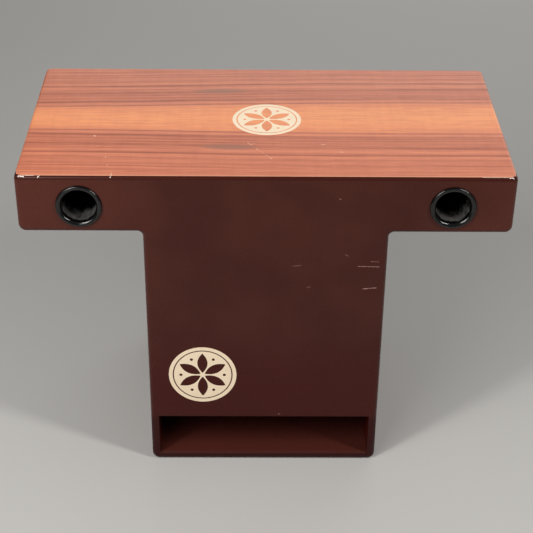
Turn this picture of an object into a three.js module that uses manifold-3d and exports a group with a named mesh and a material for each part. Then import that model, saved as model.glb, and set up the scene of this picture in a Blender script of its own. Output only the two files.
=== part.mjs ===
// Lap cajon: a T-shaped box drum that is played on its flat top.
//
// The stem stands between the player's thighs and the two wings lie over them. Two T-shaped
// panels close the front and the back of a frame of boards, a thin veneered plate is glued on
// top, and two strands of snare wire lie against the underside of that plate.
//
// Millimetres. X runs along the wings, Y from the front to the back and Z up. The origin is on
// the floor, under the middle of the stem.

import * as THREE from 'three';
import { mergeVertices } from 'three/addons/utils/BufferGeometryUtils.js';
import Module from 'manifold-3d';

const wasm = await Module();
wasm.setup();

// Driving dimensions of the box
const WIDTH = 500;             // across both wings
const DEPTH = 260;             // front face to back face
const HEIGHT = 362;            // floor to playing surface
const STEM_WIDTH = 250;        // outside of the stem
const BOARD = 9;               // thickness of the body's boards
const TOP_THICKNESS = 4;       // thickness of the playing plate
const SLOT_HEIGHT = 52;        // bass port at the foot of the stem
const GLUE_LINE = 0.3;         // gap between two glued or screwed faces

// Rounded edges
const EDGE_ROUND = 5;          // outer edges of the two panels
const FACE_CORNER_ROUND = 2.8; // what is left of the lower corners on the panels' flat faces
const COVE_ROUND = 6;          // inner corners between wing and stem, as a router leaves them
const TOP_ROUND = 3.3;         // eased upper edge of the playing plate
const PLATE_CORNER = 7;        // plan corners of the playing plate

// Port tubes in the wings
const PORT_INSET = 62.5;       // from the end of the wing to the tube's axis
const PORT_BORE = 35;          // inside diameter
const PORT_WALL = 3;           // wall of the tube
const PORT_LENGTH = 70;        // from the face of the panel to the inner end
const FLANGE_LAP = 2.9;        // how far the flange covers the panel round the tube
const FLANGE_HEIGHT = 2.5;     // how far the flange stands out of the panel
const FLANGE_CROWN = 1.5;      // rim of the flange to its highest ring
const FLARE_WIDTH = 2.5;       // how far the mouth widens, on the radius
const FLARE_DEPTH = 3;         // length of the flared mouth
const PORT_CLEARANCE = 0.5;    // radial, tube in its hole
const PORT_HEADROOM = 2.8;     // tube to the lining above it
const PORT_FLOOR_GAP = 0.9;    // tube to the wing floor under it

// Softwood strips inside
const LINING_WIDTH = 10;       // glue strips under the rim of the plate
const LINING_HEIGHT = 6;
const BATTEN_WIDTH = 12;       // square section of the stem's corner strips
const BATTEN_SLOT_GAP = 6;     // the front strips stop this far above the slot
const BATTEN_TOP_GAP = 7;      // all four stop this far under the upper ends of the stem sides

// Snares
const RAIL_MARGIN = 2;         // rail beyond the end plates, on each side
const RAIL_HEIGHT = 18;
const RAIL_PORT_GAP = 9;       // port tube to the rail beside it
const SNARE_END_GAP = 15;      // lining to the end plate
const SNARE_WIRES = 10;
const WIRE_PITCH = 2;
const WIRE_DIAMETER = 1.6;
const WIRE_BRAZE = 0.3;        // how deep the wires sink into the braze on the lips
const WIRE_GAP = 0.3;          // wires to the underside of the plate
const END_PLATE = 0.8;         // sheet thickness of the bent end plates
const END_PLATE_MARGIN = 2;    // sheet beyond the outer wires
const FOOT_LENGTH = 12;        // the part of an end plate that is screwed down
const LIP_LENGTH = 6;          // the part of an end plate that holds the wires
const SCREW_EDGE = 5;          // side of the end plate to the screw
const SCREW_DIAMETER = 3;
const SCREW_LENGTH = 12;       // under the head
const SCREW_TIP = 2;           // tapered end of the screw
const SCREW_HEAD_DIAMETER = 5.6;
const SCREW_HEAD_HEIGHT = 2;
const SCREW_CLEARANCE = 0.3;   // screw in its holes

// Facets
const ARC_STEPS = 5;
const ROUNDOVER_STEPS = 4;
const PORT_SIDES = 32;
const SCREW_SIDES = 12;
const WIRE_SIDES = 6;

// Places that follow from the sizes above
const quarterTurn = Math.PI / 2;
const cornerRound = EDGE_ROUND + FACE_CORNER_ROUND;
const plateUnderside = HEIGHT - TOP_THICKNESS;
const frameTop = plateUnderside - GLUE_LINE;
const liningUnderside = frameTop - LINING_HEIGHT;
const tubeRadius = PORT_BORE / 2 + PORT_WALL;
const portX = WIDTH / 2 - PORT_INSET;
const portZ = liningUnderside - PORT_HEADROOM - tubeRadius;
const wingFloorTop = portZ - tubeRadius - PORT_FLOOR_GAP;
const wingUnderside = wingFloorTop - BOARD;
const wingInside = WIDTH / 2 - BOARD;
const stemOutside = STEM_WIDTH / 2;
const stemInside = stemOutside - BOARD;
const panelInside = DEPTH / 2 - BOARD;
const frameEnd = panelInside - GLUE_LINE;
const slotTop = BOARD + SLOT_HEIGHT;
const strandWidth = (SNARE_WIRES - 1) * WIRE_PITCH + 2 * END_PLATE_MARGIN;
const railWidth = strandWidth + 2 * RAIL_MARGIN;
const railX = portX - tubeRadius - RAIL_PORT_GAP - railWidth / 2;
const railTop = liningUnderside - GLUE_LINE;
const strandEnd = frameEnd - LINING_WIDTH - SNARE_END_GAP;
const screwX = strandWidth / 2 - SCREW_EDGE;
const screwY = strandEnd - FOOT_LENGTH / 2;

const FINISHES = {
  veneer: { color: 0xc07a5e, roughness: 0.45, metalness: 0 },
  paint: { color: 0x4b2622, roughness: 0.5, metalness: 0 },
  softwood: { color: 0xc9a877, roughness: 0.75, metalness: 0 },
  portPlastic: { color: 0x101012, roughness: 0.2, metalness: 0 },
  snareSteel: { color: 0xb9b7b0, roughness: 0.35, metalness: 1 },
  screwSteel: { color: 0x8f8f92, roughness: 0.4, metalness: 1 },
};

function named(name, geometry, finish) {
  const mesh = new THREE.Mesh(geometry, new THREE.MeshStandardMaterial(FINISHES[finish]));
  mesh.name = name;
  return mesh;
}

// Turns a closed geometry into a solid that can be joined and cut.
function solidOf(geometry) {
  geometry.deleteAttribute('normal');
  geometry.deleteAttribute('uv');
  const merged = mergeVertices(geometry);
  return new wasm.Manifold(new wasm.Mesh({
    numProp: 3,
    vertProperties: new Float32Array(merged.attributes.position.array),
    triVerts: new Uint32Array(merged.index.array),
  }));
}

// Turns a solid back into a geometry.
function geometryOf(solid) {
  const mesh = solid.getMesh();
  const geometry = new THREE.BufferGeometry();
  geometry.setAttribute('position', new THREE.BufferAttribute(mesh.vertProperties, mesh.numProp));
  geometry.setIndex(new THREE.BufferAttribute(mesh.triVerts, 1));
  geometry.computeVertexNormals();
  return geometry;
}

// A block between two opposite corners.
function block(low, high) {
  const size = high.map((value, axis) => value - low[axis]);
  const geometry = new THREE.BoxGeometry(...size);
  geometry.translate(...low.map((value, axis) => value + size[axis] / 2));
  return geometry;
}

// A round bar along Z that starts at z = 0.
function bar(diameter, length, sides) {
  const geometry = new THREE.CylinderGeometry(diameter / 2, diameter / 2, length, sides);
  geometry.rotateX(quarterTurn);
  geometry.translate(0, 0, length / 2);
  return geometry;
}

// Extrudes an outline from z = 0 to its thickness. The edge of the far face is rounded, and the
// near face stays square.
function roundedSlab(outline, thickness, round) {
  const geometry = new THREE.ExtrudeGeometry(outline, {
    depth: thickness,
    curveSegments: ARC_STEPS,
    bevelThickness: round,
    bevelSize: round,
    bevelOffset: -round,
    bevelSegments: ROUNDOVER_STEPS,
  });
  geometry.translate(0, 0, -round);
  const behind = block([-WIDTH, -WIDTH, -3 * round], [WIDTH, WIDTH, 0]);
  return solidOf(geometry).subtract(solidOf(behind));
}

// The T outline of the two panels, in X and Z. It runs past their upper edge, where it is cut
// off square, so that only the sides and the lower edges are rounded.
function panelOutline() {
  const half = WIDTH / 2;
  const beyond = HEIGHT + EDGE_ROUND;
  const outline = new THREE.Shape();
  outline.moveTo(half, beyond);
  outline.lineTo(-half, beyond);
  outline.absarc(-half + cornerRound, wingUnderside + cornerRound, cornerRound, Math.PI, -quarterTurn, false);
  outline.absarc(-stemOutside - COVE_ROUND, wingUnderside - COVE_ROUND, COVE_ROUND, quarterTurn, 0, true);
  outline.absarc(-stemOutside + cornerRound, cornerRound, cornerRound, Math.PI, -quarterTurn, false);
  outline.absarc(stemOutside - cornerRound, cornerRound, cornerRound, -quarterTurn, 0, false);
  outline.absarc(stemOutside + COVE_ROUND, wingUnderside - COVE_ROUND, COVE_ROUND, Math.PI, quarterTurn, true);
  outline.absarc(half - cornerRound, wingUnderside + cornerRound, cornerRound, -quarterTurn, 0, false);
  outline.closePath();
  return outline;
}

// A panel drawn in X and Y, with its outer face towards +Z.
function panelSolid() {
  const above = block([-WIDTH, frameTop, -BOARD], [WIDTH, 2 * HEIGHT, 2 * BOARD]);
  return roundedSlab(panelOutline(), BOARD, EDGE_ROUND).subtract(solidOf(above));
}

// Stands a panel upright against the frame, with its outer face to the front.
function standingPanel(name, solid) {
  const panel = named(name, geometryOf(solid), 'paint');
  panel.rotation.x = quarterTurn;
  panel.position.y = -panelInside;
  return panel;
}

function frontPanel() {
  const slot = block([-stemInside, BOARD, -BOARD], [stemInside, slotTop, 2 * BOARD]);
  let solid = panelSolid().subtract(solidOf(slot));
  for (const side of [-1, 1]) {
    const hole = bar(2 * (tubeRadius + PORT_CLEARANCE), 3 * BOARD, PORT_SIDES);
    hole.translate(side * portX, portZ, -BOARD);
    solid = solid.subtract(solidOf(hole));
  }
  return standingPanel('front_panel', solid);
}

function backPanel() {
  const turned = new THREE.Group();
  turned.rotation.z = Math.PI;
  turned.add(standingPanel('back_panel', panelSolid()));
  return turned;
}

function playingTop() {
  const x = WIDTH / 2 - PLATE_CORNER;
  const y = DEPTH / 2 - PLATE_CORNER;
  const outline = new THREE.Shape();
  outline.absarc(x, y, PLATE_CORNER, 0, quarterTurn, false);
  outline.absarc(-x, y, PLATE_CORNER, quarterTurn, Math.PI, false);
  outline.absarc(-x, -y, PLATE_CORNER, Math.PI, -quarterTurn, false);
  outline.absarc(x, -y, PLATE_CORNER, -quarterTurn, 0, false);
  outline.closePath();
  const solid = roundedSlab(outline, TOP_THICKNESS, TOP_ROUND);
  const plate = named('playing_top', geometryOf(solid), 'veneer');
  plate.position.z = plateUnderside;
  return plate;
}

// An upright board whose lower outer edge is rounded as the panels' corners are.
function roundedFootBoard(name, outside, low, high) {
  const inside = outside - BOARD;
  const outline = new THREE.Shape();
  outline.moveTo(inside, low);
  outline.absarc(outside - cornerRound, low + cornerRound, cornerRound, -quarterTurn, 0, false);
  outline.lineTo(outside, high);
  outline.lineTo(inside, high);
  outline.closePath();
  const geometry = new THREE.ExtrudeGeometry(outline, {
    depth: 2 * frameEnd,
    curveSegments: ARC_STEPS,
    bevelEnabled: false,
  });
  const board = named(name, geometry, 'paint');
  board.rotation.x = quarterTurn;
  board.position.y = frameEnd;
  return board;
}

function wingFloor(name) {
  const low = [stemOutside + GLUE_LINE, -frameEnd, wingUnderside];
  const high = [wingInside - GLUE_LINE, frameEnd, wingFloorTop];
  return named(name, block(low, high), 'paint');
}

function bottomPanel() {
  const reach = stemInside - GLUE_LINE;
  return named('bottom_panel', block([-reach, -frameEnd, 0], [reach, frameEnd, BOARD]), 'paint');
}

// The tube is a revolved profile: tube, flat flange with a rounded rim, flared mouth and bore. Its
// axis is Y, and its heights start at the face of the panel.
function portTube(name, side) {
  const bore = PORT_BORE / 2;
  const flange = tubeRadius + FLANGE_LAP;
  const crown = flange - FLANGE_CROWN;
  const mouth = FLANGE_HEIGHT - FLARE_DEPTH;
  const profile = new THREE.Path();
  profile.moveTo(bore, -PORT_LENGTH);
  profile.lineTo(tubeRadius, -PORT_LENGTH);
  profile.lineTo(tubeRadius, GLUE_LINE);
  profile.absellipse(crown, GLUE_LINE, flange - crown, FLANGE_HEIGHT - GLUE_LINE, 0, quarterTurn);
  profile.absellipse(bore + FLARE_WIDTH, mouth, FLARE_WIDTH, FLARE_DEPTH, quarterTurn, Math.PI);
  profile.closePath();
  const geometry = new THREE.LatheGeometry(profile.getPoints(ROUNDOVER_STEPS), PORT_SIDES);
  const tube = named(name, geometryOf(solidOf(geometry)), 'portPlastic');
  tube.rotation.z = Math.PI;
  tube.position.set(side * portX, -DEPTH / 2, portZ);
  return tube;
}

// A glue strip along the front or the back, between the wing ends.
function longLining(name, side) {
  const reach = wingInside - GLUE_LINE;
  const lining = named(name, new THREE.BoxGeometry(2 * reach, LINING_WIDTH, LINING_HEIGHT), 'softwood');
  lining.position.set(0, side * (frameEnd - LINING_WIDTH / 2), frameTop - LINING_HEIGHT / 2);
  return lining;
}

// A glue strip along a wing end, between the two long ones.
function shortLining(name) {
  const reach = frameEnd - LINING_WIDTH - GLUE_LINE;
  const outside = wingInside - GLUE_LINE;
  const low = [outside - LINING_WIDTH, -reach, liningUnderside];
  return named(name, block(low, [outside, reach, frameTop]), 'softwood');
}

// An upright glue strip in a corner of the stem.
function batten(name, sideX, sideY, low) {
  const high = wingFloorTop - BATTEN_TOP_GAP;
  const strip = named(name, new THREE.BoxGeometry(BATTEN_WIDTH, BATTEN_WIDTH, high - low), 'softwood');
  const x = stemInside - GLUE_LINE - BATTEN_WIDTH / 2;
  const y = frameEnd - BATTEN_WIDTH / 2;
  strip.position.set(sideX * x, sideY * y, (low + high) / 2);
  return strip;
}

function battens() {
  const front = slotTop + BATTEN_SLOT_GAP;
  const back = BOARD + GLUE_LINE;
  return [
    batten('front_left_batten', -1, -1, front),
    batten('front_right_batten', 1, -1, front),
    batten('back_left_batten', -1, 1, back),
    batten('back_right_batten', 1, 1, back),
  ];
}

// The four screws of a strand, two for each end plate.
function screwPlaces() {
  return [-1, 1].flatMap((end) => [-1, 1].map((side) => [side * screwX, end * screwY]));
}

function snareRail(name) {
  const low = [-railWidth / 2, -frameEnd, -RAIL_HEIGHT];
  let solid = solidOf(block(low, [railWidth / 2, frameEnd, 0]));
  for (const [x, y] of screwPlaces()) {
    const pilot = bar(SCREW_DIAMETER + 2 * SCREW_CLEARANCE, 2 * SCREW_LENGTH, SCREW_SIDES);
    pilot.translate(x, y, -SCREW_LENGTH);
    solid = solid.subtract(solidOf(pilot));
  }
  return named(name, geometryOf(solid), 'softwood');
}

// A strand lies on its rail: two sheet-metal end plates, bent up from a foot to a lip, and the
// wires brazed across the lips.
function snareStrand(name) {
  const wireAxis = plateUnderside - railTop - WIRE_GAP - WIRE_DIAMETER / 2;
  const footTop = GLUE_LINE + END_PLATE;
  const lipTop = wireAxis - WIRE_DIAMETER / 2 + WIRE_BRAZE;
  const rise = lipTop - footTop;
  const bend = END_PLATE * Math.tan(quarterTurn / 4);
  const lipStart = FOOT_LENGTH + rise;
  const wireEnd = strandEnd - lipStart;

  const outline = new THREE.Shape();
  outline.moveTo(0, GLUE_LINE);
  outline.lineTo(FOOT_LENGTH, GLUE_LINE);
  outline.lineTo(lipStart, lipTop - END_PLATE);
  outline.lineTo(lipStart + LIP_LENGTH, lipTop - END_PLATE);
  outline.lineTo(lipStart + LIP_LENGTH, lipTop);
  outline.lineTo(lipStart - bend, lipTop);
  outline.lineTo(FOOT_LENGTH - bend, footTop);
  outline.lineTo(0, footTop);
  outline.closePath();

  let solid = null;
  for (const end of [-1, 1]) {
    const sheet = new THREE.ExtrudeGeometry(outline, { depth: strandWidth, bevelEnabled: false });
    sheet.translate(-strandEnd, 0, -strandWidth / 2);
    sheet.rotateX(quarterTurn);
    sheet.rotateZ(-end * quarterTurn);
    const plate = solidOf(sheet);
    solid = solid ? solid.add(plate) : plate;
  }
  for (const [x, y] of screwPlaces()) {
    const hole = bar(SCREW_DIAMETER + 2 * SCREW_CLEARANCE, 2 * footTop, SCREW_SIDES);
    hole.translate(x, y, 0);
    solid = solid.subtract(solidOf(hole));
  }
  for (let wire = 0; wire < SNARE_WIRES; wire += 1) {
    const strand = bar(WIRE_DIAMETER, 2 * wireEnd, WIRE_SIDES);
    strand.rotateX(quarterTurn);
    strand.translate((wire - (SNARE_WIRES - 1) / 2) * WIRE_PITCH, wireEnd, wireAxis);
    solid = solid.add(solidOf(strand));
  }
  return named(name, geometryOf(solid), 'snareSteel');
}

// A pan-head screw, revolved about Y, with the underside of its head at y = 0.
function snareScrew(name, [x, y]) {
  const shank = SCREW_DIAMETER / 2;
  const head = SCREW_HEAD_DIAMETER / 2;
  const profile = new THREE.Path();
  profile.moveTo(0, -SCREW_LENGTH);
  profile.lineTo(shank, SCREW_TIP - SCREW_LENGTH);
  profile.lineTo(shank, 0);
  profile.absellipse(0, 0, head, SCREW_HEAD_HEIGHT, 0, quarterTurn);
  const geometry = new THREE.LatheGeometry(profile.getPoints(2), SCREW_SIDES);
  const screw = named(name, geometryOf(solidOf(geometry)), 'screwSteel');
  screw.rotation.x = quarterTurn;
  screw.position.set(x, y, 2 * GLUE_LINE + END_PLATE);
  return screw;
}

function snares(side) {
  const group = new THREE.Group();
  group.position.set(railX, 0, railTop);
  group.add(snareRail(`${side}_snare_rail`), snareStrand(`${side}_snare_strand`));
  screwPlaces().forEach((place, index) => {
    group.add(snareScrew(`${side}_snare_screw_${index + 1}`, place));
  });
  return group;
}

// One half of the frame with its snares, built on the right and turned round for the left.
function frameHalf(side, turn) {
  const half = new THREE.Group();
  half.rotation.z = turn;
  half.add(
    roundedFootBoard(`${side}_wing_end`, WIDTH / 2, wingUnderside, frameTop),
    roundedFootBoard(`${side}_stem_side`, stemOutside, 0, wingFloorTop),
    wingFloor(`${side}_wing_floor`),
    shortLining(`${side}_lining`),
    snares(side),
  );
  return half;
}

const lapCajon = new THREE.Group();
lapCajon.add(
  playingTop(),
  frontPanel(),
  backPanel(),
  bottomPanel(),
  frameHalf('right', 0),
  frameHalf('left', Math.PI),
  portTube('left_port_tube', -1),
  portTube('right_port_tube', 1),
  longLining('front_lining', -1),
  longLining('back_lining', 1),
  ...battens(),
);

export default lapCajon;
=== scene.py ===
# %% [markdown]
# # Dressing a lap cajon
#
# A lap cajon is a wooden box drum in the shape of a T. Its stem stands between the player's thighs,
# its wings lie over them, and the hands play on the flat veneered top. Two black tubes let the air of
# the wings out at the front, a wide slot at the foot of the stem is the bass port, and two strands of
# coiled wire inside rattle against the underside of the top.
#
# The drum's construction comes from a CAD model with every board, tube and screw at its real size.
# This lesson loads that model as a fixed frame and then makes the surfaces that one sees: smooth
# painted boards, a striped veneer, gloss plastic and steel wire. Blender works in metres, so sizes in
# millimetres are multiplied by MM.

# %% Load the CAD frame
import math
import bmesh
import bpy
from mathutils import Color, Matrix, Vector


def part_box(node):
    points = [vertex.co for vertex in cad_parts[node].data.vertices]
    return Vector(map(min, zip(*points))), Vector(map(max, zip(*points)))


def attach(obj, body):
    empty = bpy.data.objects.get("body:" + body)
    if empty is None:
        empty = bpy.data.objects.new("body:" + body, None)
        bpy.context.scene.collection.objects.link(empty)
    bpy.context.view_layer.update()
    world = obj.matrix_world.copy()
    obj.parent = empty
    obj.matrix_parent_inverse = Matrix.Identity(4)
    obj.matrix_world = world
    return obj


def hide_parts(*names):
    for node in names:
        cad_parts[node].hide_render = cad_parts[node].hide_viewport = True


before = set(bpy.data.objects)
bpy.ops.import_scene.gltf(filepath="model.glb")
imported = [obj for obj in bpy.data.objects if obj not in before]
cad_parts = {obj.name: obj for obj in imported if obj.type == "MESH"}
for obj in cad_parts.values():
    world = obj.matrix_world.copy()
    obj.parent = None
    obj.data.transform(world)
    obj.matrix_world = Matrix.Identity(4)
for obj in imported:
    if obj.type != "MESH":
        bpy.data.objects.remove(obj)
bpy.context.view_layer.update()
MM = 0.001
SIDES = ("left", "right")
print("CAD nodes:", len(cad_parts))

# %% [markdown]
# ## The camera
#
# A camera that has to match a photograph is solved from straight edges whose real sizes are known. Its
# place, three angles and focal length are all that is needed, so they are written down as such. The
# focal length is known in pixels of the square picture, and Blender wants it in millimetres of sensor.

# %% Camera
PICTURE_PIXELS = 533
FOCAL_PIXELS = 1349.5
SENSOR_WIDTH = 36.0
CAMERA_PLACE = Vector((-15.9, -1301.6, 1001.7)) * MM
CAMERA_YAW = math.radians(0.822)
CAMERA_DIP = math.radians(32.410)
CAMERA_ROLL = math.radians(0.652)


def add_object(name, data):
    """A new object in the scene."""
    added = bpy.data.objects.new(name, data)
    bpy.context.scene.collection.objects.link(added)
    return added


def camera_turn():
    """The camera's axes as the columns of a matrix: right, up and back."""
    level = math.cos(CAMERA_DIP)
    forward = Vector((math.sin(CAMERA_YAW) * level, math.cos(CAMERA_YAW) * level, -math.sin(CAMERA_DIP)))
    right = Vector((math.cos(CAMERA_YAW), -math.sin(CAMERA_YAW), 0.0))
    up = right.cross(forward)
    rolled_right = right * math.cos(CAMERA_ROLL) + up * math.sin(CAMERA_ROLL)
    rolled_up = up * math.cos(CAMERA_ROLL) - right * math.sin(CAMERA_ROLL)
    return Matrix((rolled_right, rolled_up, -forward)).transposed()


camera_data = bpy.data.cameras.new("camera")
camera_data.sensor_width = SENSOR_WIDTH
camera_data.lens = FOCAL_PIXELS / PICTURE_PIXELS * SENSOR_WIDTH
camera = add_object("camera", camera_data)
camera.matrix_world = Matrix.Translation(CAMERA_PLACE) @ camera_turn().to_4x4()
bpy.context.scene.camera = camera
print("camera lens:", round(camera_data.lens, 2), "mm")

# %% [markdown]
# ## Small helpers for node trees
#
# Every finish below is a tree of nodes, and trees written node by node get long. A few helpers keep
# them readable: one adds a node and feeds its inputs, one does a sum with a Math node, and the others
# fade, sway, blend or combine values.

# %% Node helpers
def feed(tree, node, inputs):
    """Link or set a node's inputs, given by name or by number."""
    for key, value in inputs.items():
        if isinstance(value, bpy.types.NodeSocket):
            tree.links.new(value, node.inputs[key])
        else:
            node.inputs[key].default_value = value


def add_node(tree, kind, inputs=None, **settings):
    """Add a node, give it its settings and feed its inputs."""
    node = tree.nodes.new(kind)
    for key, value in settings.items():
        setattr(node, key, value)
    feed(tree, node, inputs or {})
    return node


def calc(tree, operation, *values):
    """The result of one Math node."""
    return add_node(tree, "ShaderNodeMath", dict(enumerate(values)), operation=operation).outputs[0]


def combine(tree, x=0.0, y=0.0, z=0.0):
    """A vector out of three numbers."""
    return add_node(tree, "ShaderNodeCombineXYZ", {0: x, 1: y, 2: z}).outputs[0]


def fade(tree, value, start, end, at_start=0.0, at_end=1.0):
    """A smooth change from one number to another as a value runs from start to end."""
    inputs = {0: value, 1: start, 2: end, 3: at_start, 4: at_end}
    return add_node(tree, "ShaderNodeMapRange", inputs, interpolation_type="SMOOTHSTEP").outputs[0]


def ruler(tree, value, start, end):
    """A straight change from 0 to 1 as a value runs from start to end."""
    return add_node(tree, "ShaderNodeMapRange", {0: value, 1: start, 2: end}).outputs[0]


def sway(tree, value, texture, amount):
    """A value that a texture of 0 to 1 moves up and down by half an amount."""
    return calc(tree, "MULTIPLY_ADD", calc(tree, "SUBTRACT", texture, 0.5), amount, value)


def blend(tree, share, first, second):
    """A mix of two colours."""
    inputs = {0: share, 6: first, 7: second}
    return add_node(tree, "ShaderNodeMix", inputs, data_type="RGBA").outputs[2]


def shades(tree, value, stops, interpolation="EASE"):
    """A colour ramp with a stop for each (position, colour)."""
    node = add_node(tree, "ShaderNodeValToRGB", {0: value})
    node.color_ramp.interpolation = interpolation
    elements = node.color_ramp.elements
    elements.remove(elements[1])
    elements[0].position, elements[0].color = stops[0]
    for position, tint in stops[1:]:
        elements.new(position).color = tint
    return node.outputs[0]


print("node helpers ready")

# %% [markdown]
# ## Small helpers for finishes
#
# Real surfaces vary over some length: paint drifts over a hand's width, and wood fibres are long with
# the grain and narrow across it. So the noise here takes the size of its blotches along each axis, in
# Object coordinates, which are metres in the drum's own frame. Colours are written as a display shows
# them, and turned into the linear values that Blender's sockets take.

# %% Finish helpers
def object_axes(tree):
    """The X, Y and Z of Object coordinates."""
    place = add_node(tree, "ShaderNodeTexCoord").outputs["Object"]
    return add_node(tree, "ShaderNodeSeparateXYZ", {0: place}).outputs[:]


def noise(tree, axes, sizes, detail=3.0, seed=0.0):
    """Noise from 0 to 1 whose blotches have the given size along each axis."""
    scaled = [calc(tree, "DIVIDE", axis, size) for axis, size in zip(axes, sizes)]
    place = combine(tree, calc(tree, "ADD", scaled[0], seed), scaled[1], scaled[2])
    inputs = {"Vector": place, "Scale": 1.0, "Detail": detail, "Roughness": 0.6}
    return add_node(tree, "ShaderNodeTexNoise", inputs).outputs[0]


def new_finish(name):
    """A material with its tree and its shader."""
    finish = bpy.data.materials.new(name)
    finish.use_nodes = True
    return finish, finish.node_tree, finish.node_tree.nodes["Principled BSDF"]


def rough_skin(tree, shader, height, depth):
    """Raise a surface by a height of 0 to 1 times a depth in metres."""
    bump = add_node(tree, "ShaderNodeBump", {"Height": height, "Distance": depth, "Strength": 1.0})
    feed(tree, shader, {"Normal": bump.outputs[0]})


def colour(red, green, blue):
    """A display colour of 0 to 255 as linear RGBA."""
    display = Color((red / 255, green / 255, blue / 255))
    return (*display.from_srgb_to_scene_linear(), 1.0)


print("finish helpers ready")

# %% [markdown]
# ## Floor
#
# The drum stands on a plain pale floor, a wide plane that isn't part of it. The floor is pale to the
# camera and in reflections, but it throws less light back at the drum than such a floor would, so that
# the undersides and the slot stay dark. Light Path tells the two kinds of ray apart.

# %% Floor
FLOOR_REACH = 20.0
FLOOR_SEEN = (0.50, 0.497, 0.487, 1.0)
FLOOR_BOUNCE = (0.15, 0.148, 0.145, 1.0)


def floor_finish():
    """A dull pale floor that bounces less light than it shows."""
    finish, tree, shader = new_finish("floor")
    ray = add_node(tree, "ShaderNodeLightPath").outputs
    mirrored_ray = calc(tree, "MAXIMUM", ray["Is Glossy Ray"], ray["Is Transmission Ray"])
    seen = calc(tree, "MAXIMUM", ray["Is Camera Ray"], mirrored_ray)
    feed(tree, shader, {"Base Color": blend(tree, seen, FLOOR_BOUNCE, FLOOR_SEEN), "Roughness": 0.9})
    return finish


floor_corners = [(-1, -1), (1, -1), (1, 1), (-1, 1)]
floor_points = [(x * FLOOR_REACH, y * FLOOR_REACH, 0.0) for x, y in floor_corners]
floor_mesh = bpy.data.meshes.new("floor")
floor_mesh.from_pydata(floor_points, [], [range(4)])
floor_mesh.materials.append(floor_finish())
floor = add_object("floor", floor_mesh)
print("floor:", 2 * FLOOR_REACH, "m wide")

# %% [markdown]
# ## Lamps and sky
#
# Gloss and shadows tell where the lamps are: each port tube has one glint low on the left and one low
# on the right, and inside the slot a shadow runs in from each end. So two narrow, tall lamps stand in
# front of the drum, one on the left and one on the right. A broad one beside the left lamp draws a pale
# band along the left of the top's front edge, and leaves the slot's left end dark. A fourth one stands
# behind on the right, where the satin top throws a pale haze back. The sky of the world fills the
# shadows. Each lamp is given by its place from the point that all of them look at, its width and height
# in metres, and its watts.

# %% Lamps and sky
LAMP_AIM = Vector((0.0, 0.0, 0.3))
LAMP_COLOUR = (1.0, 0.97, 0.93)
LAMPS = {
    "left_lamp": ((-0.83, -0.87, 0.91), (0.17, 0.8), 9.2),
    "right_lamp": ((1.02, -0.68, 0.82), (0.17, 0.8), 11.4),
    "front_lamp": ((-0.75, -0.95, 0.6), (1.0, 0.6), 8.7),
    "back_lamp": ((0.7, 2.4, 0.76), (3.2, 0.8), 21.5),
}
SKY_COLOUR = (0.97, 0.985, 1.0, 1.0)
SKY_STRENGTH = 0.17


def stand_lamp(name, offset, size, watts):
    """A soft rectangular lamp that looks at the drum."""
    data = bpy.data.lights.new(name, "AREA")
    data.shape = "RECTANGLE"
    data.size, data.size_y = size
    data.energy = watts
    data.color = LAMP_COLOUR
    lamp = add_object(name, data)
    turn = (-offset).to_track_quat("-Z", "Y").to_matrix()
    lamp.matrix_world = Matrix.Translation(LAMP_AIM + offset) @ turn.to_4x4()
    lamp.visible_camera = False
    print(name, "at", [round(value, 2) for value in lamp.matrix_world.translation])


for name, (offset, size, watts) in LAMPS.items():
    stand_lamp(name, Vector(offset), size, watts)
sky = bpy.data.worlds.new("sky")
sky.use_nodes = True
feed(sky.node_tree, sky.node_tree.nodes["Background"], {"Color": SKY_COLOUR, "Strength": SKY_STRENGTH})
bpy.context.scene.world = sky
bpy.context.scene.view_settings.view_transform = "Standard"

# %% [markdown]
# ## Scratches
#
# The drum has been played: a few pale scratches lie on the top and on the front, and the front edge of
# the top is chipped. The same lines also draw glints on the top's front corners: painted highlights. A
# scratch is a line between two points, so a node group measures how far each point of the surface is
# from that line, and fades out at the scratch's half width. Noise breaks the line up. Because it
# measures in space, one paint can serve every board.

# %% Scratch group
SCRATCH_GRAIN = 1.2 * MM
SCRATCH_FADE = 0.15 * MM


def scratch_group():
    """A group with the inputs Start, End and Width, a half width, and the output Mark, from 0 to 1."""
    group = bpy.data.node_groups.new("scratch", "ShaderNodeTree")
    for name in ("Start", "End"):
        group.interface.new_socket(name, in_out="INPUT", socket_type="NodeSocketVector")
    group.interface.new_socket("Width", in_out="INPUT", socket_type="NodeSocketFloat")
    group.interface.new_socket("Mark", in_out="OUTPUT", socket_type="NodeSocketFloat")
    given = add_node(group, "NodeGroupInput").outputs

    def vector(operation, *values):
        inputs = dict(enumerate(values))
        return add_node(group, "ShaderNodeVectorMath", inputs, operation=operation).outputs

    place = add_node(group, "ShaderNodeTexCoord").outputs["Object"]
    reach = vector("SUBTRACT", place, given["Start"])[0]
    line = vector("SUBTRACT", given["End"], given["Start"])[0]
    length_squared = vector("DOT_PRODUCT", line, line)[1]
    along = calc(group, "DIVIDE", vector("DOT_PRODUCT", reach, line)[1], length_squared)
    share = add_node(group, "ShaderNodeClamp", {0: along}).outputs[0]
    share_inputs = {0: line, "Scale": share}
    nearest = add_node(group, "ShaderNodeVectorMath", share_inputs, operation="SCALE").outputs[0]
    distance = vector("DISTANCE", reach, nearest)[1]
    grain = noise(group, object_axes(group), (SCRATCH_GRAIN,) * 3, detail=2.0)
    broken_width = calc(group, "MULTIPLY", given["Width"], fade(group, grain, 0.35, 0.65, 0.1, 0.9))
    mark = fade(group, calc(group, "SUBTRACT", distance, broken_width), 0.0, SCRATCH_FADE, 1.0, 0.0)
    add_node(group, "NodeGroupOutput", {"Mark": mark})
    return group


SCRATCH = scratch_group()


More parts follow.
